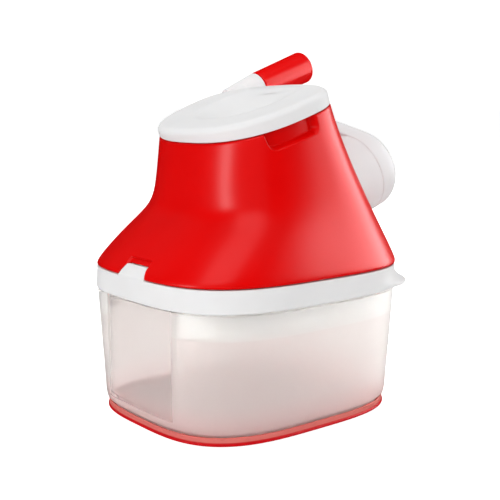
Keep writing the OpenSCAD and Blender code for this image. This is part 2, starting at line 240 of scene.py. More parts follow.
def piece(name, points, faces, body, stands_for, slot, material):
    """An object from points in millimetres, riding on a body and standing for its CAD nodes."""
    mesh = smooth_mesh(name, points, faces)
    made = bpy.data.objects.new(name, mesh)
    bpy.context.scene.collection.objects.link(made)
    even = made.modifiers.new("even_normals", "WEIGHTED_NORMAL")
    even.weight = 60
    mesh.materials.append(material)
    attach(made, body)
    if stands_for:
        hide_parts(*stands_for)
    return made


def skin(grid, closed=False, poles=(False, False)):
    """Points and faces of a tube of rings.

    Closed joins the last ring to the first, and poles end it in points."""
    rows, columns = grid.shape[:2]
    points = list(grid.reshape(-1, 3))
    faces = []
    for j in range(rows if closed else rows - 1):
        low, high = j * columns, (j + 1) % rows * columns
        for i in range(columns):
            k = (i + 1) % columns
            faces.append((low + i, low + k, high + k, high + i))
    for end, wanted in zip((0, rows - 1), poles):
        if wanted:
            points.append(grid[end].mean(0))
            tip = len(points) - 1
            ring = [end * columns + i for i in range(columns)]
            faces += [(ring[i], ring[(i + 1) % columns], tip) for i in range(columns)]
    return points, faces


def lathe(profile, origin, columns=96, closed=False, poles=(False, False)):
    """Points and faces of a turned shape.

    The profile is (radius, station) round an axis that is parallel to the crank's, at origin (y, v)."""
    turn = full_turn(columns)
    radius, station = profile[:, :1], profile[:, 1:]
    y, v = origin
    grid = tilted(station + 0 * turn, y + radius * np.cos(turn), v + radius * np.sin(turn))
    return skin(grid, closed, poles)


def join_solids(target, tools, operation="UNION"):
    """Joins closed meshes to target, or cuts them from it, and removes them."""
    for points, faces in tools:
        mesh = smooth_mesh("tool", points, faces)
        tool = bpy.data.objects.new("tool", mesh)
        bpy.context.scene.collection.objects.link(tool)
        work = target.modifiers.new("solid", "BOOLEAN")
        work.operation = operation
        work.object = tool
        work.solver = "MANIFOLD"
        with bpy.context.temp_override(object=target, active_object=target):
            bpy.ops.object.modifier_move_to_index(modifier="solid", index=0)
            bpy.ops.object.modifier_apply(modifier="solid")
        bpy.data.objects.remove(tool)
        bpy.data.meshes.remove(mesh)


# ---------------------------------------------------------------- materials


def new_material(name):
    material = bpy.data.materials.new(name)
    material.use_nodes = True
    tree = material.node_tree
    return material, tree, tree.nodes["Principled BSDF"]


def add_node(tree, kind, **settings):
    made = tree.nodes.new(kind)
    for key, value in settings.items():
        if key in made.inputs:
            made.inputs[key].default_value = value
        else:
            setattr(made, key.lower(), value)
    return made


def mottle(tree, shader, colour, other, scale, low, high, detail=3.0):
    """Slow colour change between two colours over the object."""
    place = tree.nodes.new("ShaderNodeTexCoord")
    noise = add_node(tree, "ShaderNodeTexNoise", Scale=scale, Detail=detail)
    tree.links.new(place.outputs["Object"], noise.inputs["Vector"])
    steps = tree.nodes.new("ShaderNodeValToRGB")
    steps.color_ramp.elements[0].position = low
    steps.color_ramp.elements[0].color = (*colour, 1)
    steps.color_ramp.elements[1].position = high
    steps.color_ramp.elements[1].color = (*other, 1)
    tree.links.new(noise.outputs["Fac"], steps.inputs["Fac"])
    tree.links.new(steps.outputs["Color"], shader.inputs["Base Color"])
    return place


def uneven_roughness(tree, shader, place, scale, low, high):
    noise = add_node(tree, "ShaderNodeTexNoise", Scale=scale, Detail=4.0)
    tree.links.new(place.outputs["Object"], noise.inputs["Vector"])
    spread_out = tree.nodes.new("ShaderNodeMapRange")
    spread_out.inputs["From Min"].default_value = 0.3
    spread_out.inputs["From Max"].default_value = 0.7
    spread_out.inputs["To Min"].default_value = low
    spread_out.inputs["To Max"].default_value = high
    tree.links.new(noise.outputs["Fac"], spread_out.inputs["Value"])
    tree.links.new(spread_out.outputs["Result"], shader.inputs["Roughness"])


def grain(tree, shader, place, scale, depth, strength, stretch=None):
    """Fine moulded or brushed texture as bump; depth in millimetres."""
    source = place.outputs["Object"]
    if stretch:
        mapping = tree.nodes.new("ShaderNodeMapping")
        mapping.inputs["Scale"].default_value = stretch
        tree.links.new(source, mapping.inputs["Vector"])
        source = mapping.outputs["Vector"]
    noise = add_node(tree, "ShaderNodeTexNoise", Scale=scale, Detail=2.0, Roughness=0.6)
    tree.links.new(source, noise.inputs["Vector"])
    bump = add_node(tree, "ShaderNodeBump", Strength=strength, Distance=depth * MM)
    tree.links.new(noise.outputs["Fac"], bump.inputs["Height"])
    tree.links.new(bump.outputs["Normal"], shader.inputs["Normal"])


def plastic(name, colour, other, rough, specular, grain_depth=0.05, grain_scale=2200.0):
    """Satin moulded plastic."""
    material, tree, shader = new_material(name)
    place = mottle(tree, shader, colour, other, 26.0, 0.35, 0.65)
    uneven_roughness(tree, shader, place, 90.0, rough - 0.012, rough + 0.012)
    grain(tree, shader, place, grain_scale, grain_depth, 0.10)
    shader.inputs["Specular IOR Level"].default_value = specular
    return material


def soft_white(name, colour, other, rough):
    """Satin white plastic that lets a little light in."""
    material = plastic(name, colour, other, rough, 0.03, 0.04)
    shader = material.node_tree.nodes["Principled BSDF"]
    shader.inputs["Subsurface Weight"].default_value = 0.25
    shader.inputs["Subsurface Radius"].default_value = (1.0, 0.9, 0.8)
    shader.inputs["Subsurface Scale"].default_value = 2.0 * MM
    return material


def translucent(name, colour, other, rough, transmission, grain_depth):
    """Plastic that passes blurred light."""
    material, tree, shader = new_material(name)
    place = mottle(tree, shader, colour, other, 18.0, 0.35, 0.65)
    uneven_roughness(tree, shader, place, 60.0, rough - 0.03, rough + 0.03)
    grain(tree, shader, place, 1500.0, grain_depth, 0.2)
    shader.inputs["Transmission Weight"].default_value = transmission
    shader.inputs["IOR"].default_value = 1.3
    shader.inputs["Specular IOR Level"].default_value = 0.06
    return material


def shade_by_height(material, low, high, tint, above=False):
    """Blends a colour into a tint below the heights low to high, or above them, in millimetres."""
    tree = material.node_tree
    shader = tree.nodes["Principled BSDF"]
    plain = shader.inputs["Base Color"].links[0].from_socket
    place = tree.nodes.new("ShaderNodeTexCoord")
    parts = tree.nodes.new("ShaderNodeSeparateXYZ")
    tree.links.new(place.outputs["Object"], parts.inputs["Vector"])
    rise = tree.nodes.new("ShaderNodeMapRange")
    rise.interpolation_type = "SMOOTHSTEP"
    rise.inputs["From Min"].default_value = low * MM
    rise.inputs["From Max"].default_value = high * MM
    tree.links.new(parts.outputs["Z"], rise.inputs["Value"])
    blend = tree.nodes.new("ShaderNodeMix")
    blend.data_type = "RGBA"
    for socket in blend.inputs:
        if socket.type == "RGBA" and socket.name == ("B" if above else "A"):
            socket.default_value = (*tint, 1)
        if socket.type == "RGBA" and socket.name == ("A" if above else "B"):
            tree.links.new(plain, socket)
    tree.links.new(rise.outputs["Result"], blend.inputs["Factor"])
    coloured = [socket for socket in blend.outputs if socket.type == "RGBA"][0]
    tree.links.new(coloured, shader.inputs["Base Color"])


def metal(name, colour, other, rough, stretch):
    material, tree, shader = new_material(name)
    place = mottle(tree, shader, colour, other, 40.0, 0.3, 0.7)
    uneven_roughness(tree, shader, place, 200.0, rough - 0.06, rough + 0.06)
    grain(tree, shader, place, 900.0, 0.03, 0.3, stretch)
    shader.inputs["Metallic"].default_value = 1.0
    return material


RED = plastic("red_plastic", (0.655, 0.0002, 0.0002), (0.69, 0.0004, 0.0004), 0.30, 0.06)
GRIP_RED = plastic("grip_red_plastic", (0.76, 0.001, 0.001), (0.80, 0.0014, 0.0012), 0.25, 0.08)
WHITE = soft_white("white_plastic", (0.735, 0.733, 0.735), (0.765, 0.763, 0.765), 0.5)
CRANK_WHITE = soft_white("crank_white_plastic", (0.78, 0.775, 0.78), (0.81, 0.805, 0.81), 0.38)
FROSTED = translucent("frosted_plastic", (0.955, 0.915, 0.895), (0.97, 0.935, 0.915), 0.38, 0.78, 0.05)
CLEAR = translucent("window_plastic", (0.965, 0.93, 0.91), (0.98, 0.95, 0.935), 0.14, 0.85, 0.02)
# Painted light: the frosted wall is tinted pink towards its foot, as painted red light thrown up from the
# base ring.
shade_by_height(FROSTED, 5.0, 24.0, (0.985, 0.83, 0.81))
# Painted light: a lighter band above the skirt's foot, as painted brightness of the collar's white skirt
# seen through the wall.
shade_by_height(FROSTED, SKIRT_LOW - 0.5, SKIRT_LOW + 0.5, (1.0, 0.985, 0.965), above=True)
# Painted light: the window is tinted pink towards its foot, as painted red light thrown up from the base
# ring.
shade_by_height(CLEAR, 5.0, 24.0, (0.985, 0.83, 0.815))
BASE_RED = translucent("base_red_plastic", (0.72, 0.17, 0.15), (0.76, 0.20, 0.17), 0.30, 0.05, 0.04)
shade_by_height(BASE_RED, 2.0, 2.8, (0.60, 0.006, 0.010))
SEAL = plastic("silicone_seal", (0.60, 0.58, 0.56), (0.64, 0.62, 0.60), 0.55, 0.4, 0.03)
STEEL = metal("turned_steel", (0.56, 0.56, 0.57), (0.66, 0.66, 0.67), 0.28, (1.0, 1.0, 1.0))
GRATER_STEEL = metal("brushed_steel", (0.58, 0.58, 0.59), (0.70, 0.70, 0.71), 0.30, (0.08, 1.0, 1.0))

# ---------------------------------------------------------------- base ring


def base_ring():
    """Flat ring under the tub, with a thin lip that stands up round its foot."""
    phi = spread(*oval(full_turn(2000), *BASE), 1.0, 240)
    flange_in, flange_top = -13.6, 2.2
    lip_top = BASE_TOP - 0.02
    profile = rounded([
        (-1.5, 0.0, 0.9), (0.0, 0.7, 0.9), (0.0, 1.8, 0.45), (-0.6, flange_top, 0.25), (-0.3, lip_top, 0.35),
        (-1.35, lip_top, 0.35), (-1.4, flange_top, 0.3), (flange_in, flange_top, 0.5), (flange_in, 0.0, 0.8),
    ], closed=True)
    profile = refine(profile, 1.2, closed=True)
    rows = []
    for grow, z in profile:
        x, y = oval(phi, BASE[0] + grow, BASE[1] + grow)
        rows.append(np.stack([x, y, np.full_like(x, z)], -1))
    mesh = skin(np.array(rows), closed=True)
    piece("base_ring_moulding", *mesh, "tub", ["base_ring"], "red_base", BASE_RED)


# ---------------------------------------------------------------- tub


def window_share(x, y):
    """1 on the window panel at the -X end, 0 off it, with a slanted step between."""
    inside = 1 - soft_line(np.abs(y) - WINDOW_HALF, WINDOW_STEP, 0.35)
    return np.where(x < 0, inside, 0.0)


def container():
    """Tub with a window panel at its -X end; its wall runs from under the floor over the rim and back."""
    x, y = oval(full_turn(4000), *TUB_RIM)
    step = (x < 0) & (np.abs(y) > WINDOW_HALF - 1) & (np.abs(y) < WINDOW_HALF + WINDOW_STEP + 1)
    phi = spread(x, y, np.where(step, 4.0, 1.0), 320)
    rim_x, rim_y = TUB_RIM
    floor_low, floor_top = 2.25, 4.4
    lip_out, lip_in, lip_top = 2.0, 3.8, TUB_TOP - 0.02
    profile = rounded([
        (50.0, 42.0, floor_low, 0), (62.0, 52.6, floor_low, 0.5), (72.0, 62.4, floor_low, 1.0),
        (73.3, 63.5, BASE_TOP - 0.1, 0.5), (74.4, 64.5, BASE_TOP + 0.3, 0.9), (76.2, 66.2, 7.2, 1.8),
        (76.7, 66.7, 10.6, 3.0), (rim_x, rim_y, COLLAR_LOW - 1.2, 0.4),
        (rim_x - lip_out, rim_y - lip_out, COLLAR_LOW - 0.6, 0.4),
        (rim_x - lip_out, rim_y - lip_out, lip_top, 0.6),
        (rim_x - lip_in, rim_y - lip_in, lip_top, 0.6), (rim_x - lip_in, rim_y - lip_in, COLLAR_LOW, 0.5),
        (74.6, 64.6, 13.0, 4.0), (73.2, 63.2, 6.6, 2.4),
        (68.0, 58.0, floor_top, 2.4), (50.0, 42.0, floor_top, 0),
    ])
    profile = refine(profile, 2.6)
    rows = []
    for half_x, half_y, z in profile:
        x, y = oval(phi, half_x, half_y)
        under_collar = 1 - ramp(z, COLLAR_LOW - 0.9, COLLAR_LOW + 0.4)
        depth = WINDOW_DEPTH * np.clip((z - WINDOW_LOW) / (COLLAR_LOW - WINDOW_LOW), 0, 1) * under_collar
        x = x + depth * window_share(x, y)
        rows.append(np.stack([x, y, np.full_like(x, z)], -1))
    floor_edge = rows[-1]
    under_floor = [floor_edge * (share, share, 0) + (0, 0, floor_low) for share in (0.2178, 0.66)]
    over_floor = [floor_edge * (share, share, 1) for share in (0.66, 0.33)]
    mesh = skin(np.array(under_floor + rows + over_floor), poles=(True, True))
    made = piece("tub_moulding", *mesh, "tub", ["container"], "frosted", FROSTED)
    made.data.materials.append(CLEAR)
    for face in made.data.polygons:
        centre = face.center / MM
        at_window_end = centre.x < -60 and abs(centre.y) < WINDOW_HALF
        if at_window_end and WINDOW_LOW - 8 < centre.z < COLLAR_LOW:
            face.material_index = 1


# ---------------------------------------------------------------- head


def curve(t):
    """The left, curved side of the head's silhouette, t from 0 at the rim to 1 at the lid."""
    t = np.asarray(t)[..., None]
    return (
        (1 - t) ** 3 * RIM_LEFT + 3 * (1 - t) ** 2 * t * NECK[0]
        + 3 * (1 - t) * t**2 * NECK[1] + t**3 * LID_LEFT
    )


def head_point(phi, t, inset):
    """Points on a section of the head, drawn in by inset."""
    t = np.broadcast_to(np.asarray(t, float), phi.shape)
    left = curve(t)
    right = RIM_RIGHT + (LID_RIGHT - RIM_RIGHT) * t[..., None]
    length = np.linalg.norm(right - left, axis=-1)
    along = (right - left) / length[..., None]
    split = 0.5 + (LID_SPLIT - 0.5) * t
    power = POWER + (LID_POWER - POWER) * np.maximum(t, 0) ** 1.17
    half_y = COLLAR[1] - 0.7 + (LID_HALF_Y - COLLAR[1] + 0.7) * (1 - np.maximum(1 - t, 0) ** 1.7)
    q, y = outline(phi, split * length - inset, (1 - split) * length - inset, half_y - inset, power)
    place = left + (split * length + q)[..., None] * along
    return np.stack([place[..., 0], y, place[..., 1]], -1)


def pocket_depth(points):
    """How far the finger pocket goes in at points of the head."""
    s, v = points @ AXIS, points @ LIFT
    middle, half = sum(POCKET) / 2, (POCKET[1] - POCKET[0]) / 2
    a = np.abs(s - middle) - half + POCKET_ROUND
    b = LID_V - POCKET_DOWN + POCKET_ROUND - v
    edge = np.hypot(np.maximum(a, 0), np.maximum(b, 0)) + np.minimum(np.maximum(a, b), 0) - POCKET_ROUND
    return POCKET_IN * soft_line(-edge, POCKET_SLOPE, 0.45) * (np.abs(points[..., 1]) > 30)


def notch_rise(phi):
    """The t at which the head's lower edge runs: 0, and higher over the collar's key."""
    foot = head_point(phi, 0.0, 0.0)
    inside = 1 - np.clip((np.abs(foot[:, 1]) - KEY_HALF - 0.3) / (KEY_FOOT - KEY_HALF), 0, 1)
    top = np.interp(KEY_TOP + 0.35, curve(np.linspace(0, 0.2, 60))[:, 1], np.linspace(0, 0.2, 60))
    return np.where(foot[:, 0] < 0, inside * top, 0.0)


def lip_swell(t):
    """How far the outer face swells out above its lower edge."""
    t = np.maximum(np.asarray(t, float), 0)
    return 1.35 * (1 - np.exp(-t / 0.012)) * np.exp(-((t / 0.24) ** 2))


def housing():
    """Shell of the head, bored for the crank's bearing."""
    many = full_turn(6000)
    top = head_point(many, 1.0, 0.0)
    foot = head_point(many, 0.0, 0.0)
    s = top @ AXIS
    at_pocket = (np.abs(top[:, 1]) > 30) & (s > POCKET[0] - 2) & (s < POCKET[1] + 2)
    at_notch = (foot[:, 0] < 0) & (np.abs(foot[:, 1]) < KEY_FOOT + 2)
    middle = head_point(many, 0.5, 0.0)
    density = np.where(at_pocket, 4.5, np.where(at_notch, 3.5, 1.0))
    phi = spread(middle[:, 0], middle[:, 1], density, 420)
    rise = notch_rise(phi)
    low_zone = 0.13

    def row(t, inset):
        t = np.where(t < low_zone, rise + t * (low_zone - rise) / low_zone, t)
        points = head_point(phi, t, inset - lip_swell(t) * (inset < HEAD_WALL / 2))
        outer = head_point(phi, t, 0.0)
        points[:, 1] -= np.sign(points[:, 1]) * pocket_depth(outer)
        if inset < HEAD_WALL / 2:
            near_notch = soft_line(NOTCH_HALF - np.abs(points[:, 1]), 0.5, 0.2) * (points[:, 0] < 0)
            points[:, 0] += NOTCH_DEEP * near_notch * (1 - ramp(t, NOTCH_TOP, NOTCH_TOP + 0.008))
        return points

    foot_t, pocket_t, top_t = 0.004, 0.86, 0.995

    def climb(low_count, middle_count, high_count):
        """Values of t from the foot to the top, in three stretches of their own fineness."""
        return np.concatenate([
            np.linspace(foot_t, low_zone, low_count),
            np.linspace(low_zone, pocket_t, middle_count)[1:],
            np.linspace(pocket_t, top_t, high_count)[1:],
        ])

    outer_t = climb(26, 44, 34)
    inner_t = climb(8, 18, 16)[::-1]
    rows = [row(t, 0.0) for t in outer_t]
    rows += [row(1.0, inset) for inset in (0.45, 0.9, HEAD_WALL - 0.5)]
    rows += [row(t, HEAD_WALL) for t in inner_t]
    rows += [row(0.0, inset) for inset in (HEAD_WALL - 0.4, 0.5)]
    made = piece("head_shell", *skin(np.array(rows), closed=True), "head", ["housing"], "red", RED)
    for radius, low in ((BORE_R, BORE_ENDS[0]), (COUNTERBORE_R, COUNTERBORE_LOW)):
        cutter = np.array([(radius, low), (radius, BORE_ENDS[1])])
        join_solids(made, [lathe(cutter, (CRANK_Y, CRANK_V), 128, poles=(True, True))], "DIFFERENCE")


def bearing_boss():
    low, high = BOSS_ENDS
    profile = rounded([
        (BOSS_IN, low, 0.5), (BOSS_OUT, low, 0.5), (BOSS_OUT, high, 1.1), (BOSS_IN, high, 0.5),
    ], closed=True)
    profile = refine(profile, 2.5, closed=True)
    piece("bearing_boss", *lathe(profile, (CRANK_Y, CRANK_V), 128, closed=True), "head", [], "red", RED)


# ---------------------------------------------------------------- collar

TAB_TURN = math.radians(-43)
TAB_REACH = 6.4


def collar():
    """Collar with a pull tab outside, a skirt inside the tub, and a key on top."""
    x, y = oval(full_turn(6000), *COLLAR)
    at_key = (x < 0) & (np.abs(y) < KEY_FOOT + 2)
    at_skirt_end = (x < 0) & (np.abs(y) > 36) & (np.abs(y) < 47)
    phi = spread(x, y, np.where(at_key, 3.5, np.where(at_skirt_end, 4.0, 1.0)), 380)
    x, y = oval(phi, *COLLAR)
    tab_arc = np.hypot(*COLLAR) * 0.75 * np.abs((phi - TAB_TURN + math.pi) % TURN - math.pi)
    tab_share = 1 - ramp(tab_arc, 6.0, 24.0)
    corner = 7.5
    skirt_cut_half, skirt_cut_top = 37.4, 81.4
    end_gap = np.abs(y) - skirt_cut_half
    to_corner = corner - np.clip(end_gap, 0, corner)
    lifted = SKIRT_LOW + corner - np.sqrt(np.maximum(corner**2 - to_corner**2, 0))
    skirt_low = np.where((x < 0) & (end_gap < 0), skirt_cut_top, np.where(x < 0, lifted, SKIRT_LOW))

    rows = []

    def add(half, z, tab=0.0):
        px, py = oval(phi, *half)
        z = np.broadcast_to(np.asarray(z, float), px.shape)
        flare = 1 + tab * tab_share / np.hypot(px, py)
        rows.append(np.stack([px * flare, py * flare, z], -1))

    def grown(by):
        return COLLAR[0] + by, COLLAR[1] + by

    add(grown(-0.9), COLLAR_LOW)
    add(grown(-0.35), COLLAR_LOW + 0.12, 0.1)
    add(grown(-0.05), COLLAR_LOW + 0.45, 0.5)
    wall = [
        (72.4, 0.9), (72.9, 2.6), (73.4, 4.2), (73.9, 5.3), (74.5, 5.9),
        (75.1, 5.8), (75.7, 5.1), (76.3, 4.1), (77.0, 3.0), (77.8, 2.0),
        (78.7, 1.2), (79.6, 0.6), (80.6, 0.25), (81.6, 0.1), (82.6, 0),
    ]
    for z, out in wall:
        add(grown(-0.5 * (z - 72.5) / 11.2), z, out * TAB_REACH / 5.9)
    add(grown(-0.45), COLLAR_TOP - 0.9)
    add(grown(-0.5), COLLAR_TOP - 0.45)
    add(grown(-0.7), COLLAR_TOP - 0.12)
    add(grown(-1.05), COLLAR_TOP)
    add(grown(-2.6), COLLAR_TOP)
    add(grown(-4.6), COLLAR_TOP)
    add((73.2, 64.4), COLLAR_TOP)
    add((72.8, 64.0), COLLAR_TOP - 0.12)
    add((72.6, 63.8), COLLAR_TOP - 0.6)
    for share in np.linspace(0.05, 1, 8):
        add((72.6, 63.8), COLLAR_TOP - 0.8 + (skirt_low + 0.5 - COLLAR_TOP + 0.8) * share)
    add((72.85, 64.05), skirt_low + 0.1)
    add((73.5, 64.7), skirt_low)
    add((74.15, 65.35), skirt_low + 0.1)
    for share in np.linspace(1, 0.05, 8):
        add((74.4, 65.6), 82.1 + (skirt_low + 0.5 - 82.1) * share)
    add((74.6, 65.8), 82.3)
    add(grown(-2.5), 82.3)
    add(grown(-2.3), 82.1)
    add(grown(-2.3), 76.0)
    add(grown(-2.3), 73.6)
    add(grown(-1.4), 73.2)
    add(grown(-1.3), COLLAR_LOW + 0.3)
    mesh = skin(np.array(rows), closed=True)
    made = piece("collar_moulding", *mesh, "collar", ["collar"], "white", WHITE)
    join_solids(made, [collar_key()])


def collar_key():
    """Key that stands on the collar and lies flush in the notch of the head."""
    share = np.linspace(-1, 1, 41)
    heights = np.linspace(COLLAR_TOP - 1.6, KEY_TOP, 12)
    t_of = np.linspace(0, 0.2, 60)
    z_of = curve(t_of)[:, 1]
    end = np.linspace(math.pi - 0.4, math.pi + 0.4, 200)
    key_thick = 2.0
    rows = []
    for z in heights:
        rise = np.clip((z - COLLAR_TOP) / (KEY_TOP - COLLAR_TOP), 0, 1)
        y = share * (KEY_FOOT + (KEY_HALF - KEY_FOOT) * rise)
        t = np.interp(z, z_of, t_of)
        if z > HEAD_LOW:
            probe = head_point(end, t, 0.4 - lip_swell(t))
            x = np.interp(y, probe[::-1, 1], probe[::-1, 0])
        else:
            px, py = oval(end, COLLAR[0] - 0.5, COLLAR[1] - 0.5)
            x = np.interp(y, py[::-1], px[::-1])
        front = np.stack([x, y, np.full_like(y, z)], -1)
        rows.append(np.concatenate([front, front[::-1] + (key_thick, 0, 0)]))
    return skin(np.array(rows), poles=(True, True))


# ---------------------------------------------------------------- pusher lid


def pusher_lid():
    """Hollow lid of the pusher, with a bowl in its top that is deepest off its middle."""
    phi = full_turn(260)
    left, right, half_y = LID_SPLIT * LID_LEN, (1 - LID_SPLIT) * LID_LEN, LID_HALF_Y
    slope = 0.2 / 40
    lean = 0.028
    height = 8.1
    bowl_s, bowl_low, bowl_high, bowl_y = 64.0, 28.5, 81.0, 30.5
    floor_s, floor_h = 48.0, -4.0
    top_thick, bowl_thick = 2.1, 2.0

    rows = []

    def add(s, ends, h, power=LID_POWER):
        x, y = outline(phi, *ends, power)
        lift = h + (slope * (s + x - LID_S) - lean * y) * ramp(h, 1.0, height - 2)
        rows.append(tilted(s + x, y, LID_V + lift))

    def dish(share):
        """Rise of the bowl from 0 at its floor to 1 at its edge, flat at both."""
        return 0.35 * share**2.6 + 0.65 * (0.5 - 0.5 * math.cos(math.pi * share**1.15))

    def plan(inset, h):
        add(LID_S, (left - inset, right - inset, half_y - inset), h)

    def bowl(share, h):
        """Ring of the bowl, share from 0 at its floor's centre to 1 at its edge."""
        s = floor_s + (bowl_s - floor_s) * share**2
        low, high = floor_s + (bowl_low - floor_s) * share, floor_s + (bowl_high - floor_s) * share
        add(s, (s - low, high - s, bowl_y * share), h, 2.0 + 0.6 * share)

    for share in (0.06, 0.15, 0.25, 0.35, 0.45, 0.55, 0.64, 0.72, 0.8, 0.86, 0.91, 0.95, 0.98):
        bowl(share, floor_h + (height - floor_h) * dish(share))
    bowl(1.01, height - 0.03)
    edge = rounded([
        (14.0, height, 0), (2.3, height, 2.0), (0.0, height - 2.2, 2.6), (0.1, 0.45, 0.6), (2.5, 0.45, 0.4),
        (2.5, height - top_thick, 0.8), (12.0, height - top_thick, 0),
    ])
    near = np.array([bowl_s, (bowl_s - bowl_low) * 1.06, (bowl_high - bowl_s) * 1.1, bowl_y * 1.07])
    far = np.array([LID_S, left - 6.5, right - 6.5, half_y - 6.5])
    for share in (0.0, 0.35, 0.7):
        s, *ends = near + (far - near) * share
        add(s, ends, height - 0.02)
    for inset, h in refine(edge, 1.4):
        if inset <= 6.0 or h < height - 1:
            plan(inset, h)
    for share in (0.7, 0.35, 0.0):
        s, *ends = near + (far - near) * share
        add(s, ends, height - top_thick)
    for share in (0.97, 0.9, 0.8, 0.6, 0.4, 0.2, 0.06):
        bowl(share, floor_h - bowl_thick + (height - floor_h) * dish(share))
    mesh = skin(np.array(rows), poles=(True, True))
    piece("lid_moulding", *mesh, "pusher", ["pusher_lid"], "white", WHITE)


# ---------------------------------------------------------------- crank and grip

HUB_R = 25.7
PLATE_BACK = 125.2
PLATE_FRONT = 143.9
BOSS_FRONT = 136.5
ARM_TIP_R = 8.2
CONE_R = 10.5
CONE_FRONT = 150.7
GRIP_R = 11.6
HUB_BACK = span("crank", AXIS)[0]


def arm_plate():
    """Arm and hub cap as one plate: a circle at the hub, straight sides, and a round tip."""
    lean = math.asin((HUB_R - ARM_TIP_R) / THROW)
    low_turn, high_turn = -math.pi / 2 + lean, math.pi / 2 - lean

    def side(shares, turn):
        """Points along a straight side, shares from 0 at the hub to 1 at the tip."""
        return [(THROW * share, HUB_R + (ARM_TIP_R - HUB_R) * share, turn) for share in shares]

    hub = [(0.0, HUB_R, a) for a in np.linspace(high_turn, TURN + low_turn, 90, endpoint=False)]
    tip = [(THROW, ARM_TIP_R, a) for a in np.linspace(low_turn, high_turn, 30, endpoint=False)]
    side_low = side(np.linspace(0, 1, 24)[:-1], low_turn)
    side_high = side(np.linspace(1, 0, 24)[:-1], high_turn)
    centre, radius, angle = np.array(hub + side_low + tip + side_high).T
    share = centre / THROW
    front = PLATE_FRONT + (BOSS_FRONT - PLATE_FRONT) * share
    hub_round, tip_round = 11.5, 3.4
    round_off = hub_round + (tip_round - hub_round) * share
    rows = []

    def add(inset, s):
        a = centre + (radius - inset) * np.cos(angle)
        b = (radius - inset) * np.sin(angle)
        y = CRANK_Y + a * math.cos(ARM_TURN) - b * math.sin(ARM_TURN)
        v = CRANK_V + a * math.sin(ARM_TURN) + b * math.cos(ARM_TURN)
        rows.append(tilted(s + 0 * y, y, v))

    for share_in in (0.97, 0.9, 0.6, 0.3):
        add(radius * share_in, PLATE_BACK + 0 * radius)
    add(1.0, PLATE_BACK)
    add(0.45, PLATE_BACK + 0.12)
    add(0.1, PLATE_BACK + 0.45)
    add(0.0, PLATE_BACK + 1.0)
    for k in np.linspace(0.1, 1, 6):
        add(0.0, PLATE_BACK + 1.0 + (front - round_off - PLATE_BACK - 1.0) * k)
    for a in np.linspace(0, math.pi / 2, 12)[1:]:
        add(round_off * (1 - math.cos(a)), front - round_off + round_off * math.sin(a))
    for share_in in (0.55, 0.75, 0.9, 0.97):
        add(np.maximum(radius * share_in, round_off), front + 0 * radius)
    return skin(np.array(rows), poles=(True, True))


def crank():
    """Hub, arm and the cone that carries the grip, in one moulding."""
    bore = 23.0
    hub = rounded([
        (2.0, 122.0, 0), (bore, 122.0, 0.8), (bore, HUB_BACK, 0.4), (HUB_R - 0.02, HUB_BACK, 0.5),
        (HUB_R - 0.02, 103.5, 0.2), (HUB_R - 0.5, 104.0, 0.2), (HUB_R - 0.5, 127.0, 0), (2.0, 127.0, 0),
    ])
    hub = refine(hub, 3.0)
    cone = rounded([
        (2.0, 126.2, 0), (5.0, 126.2, 0.25), (5.0, 123.1, 0.4), (ARM_TIP_R - 0.4, 123.1, 1.0),
        (CONE_R, CONE_FRONT, 0.5), (5.0, CONE_FRONT, 0), (2.0, CONE_FRONT, 0),
    ])
    cone = refine(cone, 3.0)
    points, faces = lathe(hub, (CRANK_Y, CRANK_V), 128, poles=(True, True))
    made = piece("crank_moulding", points, faces, "crank", ["crank"], "crank_white", CRANK_WHITE)
    join_solids(made, [arm_plate(), lathe(cone, (GRIP_Y, GRIP_V), 96, poles=(True, True))])


def grip():
    """Sleeve that turns on the axle and the domed cap that closes it."""
    seam = 195.0
    start, end = span("grip_sleeve", AXIS)[0], span("grip_cap", AXIS)[1]
    bore, recess, recess_low = 3.1, 6.9, seam - 8
    sleeve = rounded([
        (bore, start, 0.2), (GRIP_R - 1.05, start, 0.5), (GRIP_R, seam - 0.05, 0.05),
        (recess, seam - 0.05, 0), (recess, recess_low, 0.3), (bore, recess_low, 0.2),
    ], closed=True)
    sleeve = refine(sleeve, 3.0, closed=True)
    mesh = lathe(sleeve, (GRIP_Y, GRIP_V), closed=True)
    piece("grip_sleeve_moulding", *mesh, "grip", ["grip_sleeve"], "grip_red", GRIP_RED)
    cap = [(2.0, seam - 1.6), (6.7, seam - 1.6), (6.7, seam + 0.02), (GRIP_R - 0.05, seam + 0.02)]
    edge = 2.4
    dome = 0.6
    for a in np.linspace(0, math.pi / 2, 8)[1:]:
        radius = GRIP_R - edge + edge * math.cos(a)
        cap.append((radius, end - dome - edge + edge * math.sin(a)))
    for radius in (7.0, 5.0, 3.0, 1.0):
        cap.append((radius, end - dome * (radius / 8.6) ** 2))
    mesh = lathe(np.array(cap), (GRIP_Y, GRIP_V), poles=(True, True))
    piece("grip_cap_moulding", *mesh, "grip", ["grip_cap"], "grip_red", GRIP_RED)


# ---------------------------------------------------------------- drum


